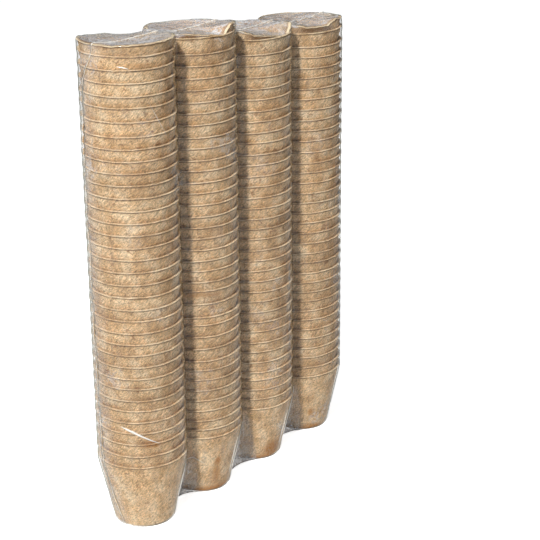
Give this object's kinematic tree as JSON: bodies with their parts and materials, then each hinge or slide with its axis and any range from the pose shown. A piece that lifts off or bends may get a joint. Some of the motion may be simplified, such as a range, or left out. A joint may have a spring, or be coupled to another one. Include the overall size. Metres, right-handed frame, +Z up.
{
  "type": "peat pot pack",
  "caption": "Nested round peat pots in tall stacks side by side in one row, mouths up, closed in clear shrink film with a weld seam along the row's centre plane.",
  "frame": {"origin": "on the surface the pack stands on, under the middle of the row of stacks", "axes": "+X along the row from stack 1 to stack 4, +Y towards the back web of the film, +Z up towards the pots' mouths"},
  "size_m": [0.3236, 0.0814, 0.4382],
  "materials": {
    "pressed_fibre": "matte",
    "shrink_film": "gloss",
    "film_weld": "gloss"
  },
  "bodies": {
    "root": {"stack_1_bottom_pot": "pressed_fibre", "stack_1_pots_01": "pressed_fibre", "stack_1_pots_02": "pressed_fibre", "stack_1_pots_03": "pressed_fibre", "stack_1_pots_04": "pressed_fibre", "stack_1_pots_05": "pressed_fibre", "stack_1_pots_06": "pressed_fibre", "stack_1_pots_07": "pressed_fibre", "stack_1_pots_08": "pressed_fibre", "stack_1_pots_09": "pressed_fibre", "stack_1_pots_10": "pressed_fibre", "stack_1_pots_11": "pressed_fibre", "stack_1_pots_12": "pressed_fibre", "stack_1_top_pot": "pressed_fibre", "stack_2_bottom_pot": "pressed_fibre", "stack_2_pots_01": "pressed_fibre", "stack_2_pots_02": "pressed_fibre", "stack_2_pots_03": "pressed_fibre", "stack_2_pots_04": "pressed_fibre", "stack_2_pots_05": "pressed_fibre", "stack_2_pots_06": "pressed_fibre", "stack_2_pots_07": "pressed_fibre", "stack_2_pots_08": "pressed_fibre", "stack_2_pots_09": "pressed_fibre", "stack_2_pots_10": "pressed_fibre", "stack_2_pots_11": "pressed_fibre", "stack_2_pots_12": "pressed_fibre", "stack_2_top_pot": "pressed_fibre", "stack_3_bottom_pot": "pressed_fibre", "stack_3_pots_01": "pressed_fibre", "stack_3_pots_02": "pressed_fibre", "stack_3_pots_03": "pressed_fibre", "stack_3_pots_04": "pressed_fibre", "stack_3_pots_05": "pressed_fibre", "stack_3_pots_06": "pressed_fibre", "stack_3_pots_07": "pressed_fibre", "stack_3_pots_08": "pressed_fibre", "stack_3_pots_09": "pressed_fibre", "stack_3_pots_10": "pressed_fibre", "stack_3_pots_11": "pressed_fibre", "stack_3_pots_12": "pressed_fibre", "stack_3_top_pot": "pressed_fibre", "stack_4_bottom_pot": "pressed_fibre", "stack_4_pots_01": "pressed_fibre", "stack_4_pots_02": "pressed_fibre", "stack_4_pots_03": "pressed_fibre", "stack_4_pots_04": "pressed_fibre", "stack_4_pots_05": "pressed_fibre", "stack_4_pots_06": "pressed_fibre", "stack_4_pots_07": "pressed_fibre", "stack_4_pots_08": "pressed_fibre", "stack_4_pots_09": "pressed_fibre", "stack_4_pots_10": "pressed_fibre", "stack_4_pots_11": "pressed_fibre", "stack_4_pots_12": "pressed_fibre", "stack_4_top_pot": "pressed_fibre", "film_front_web": "shrink_film", "film_back_web": "shrink_film", "film_weld_seam": "film_weld"}
  },
  "joints": []
}
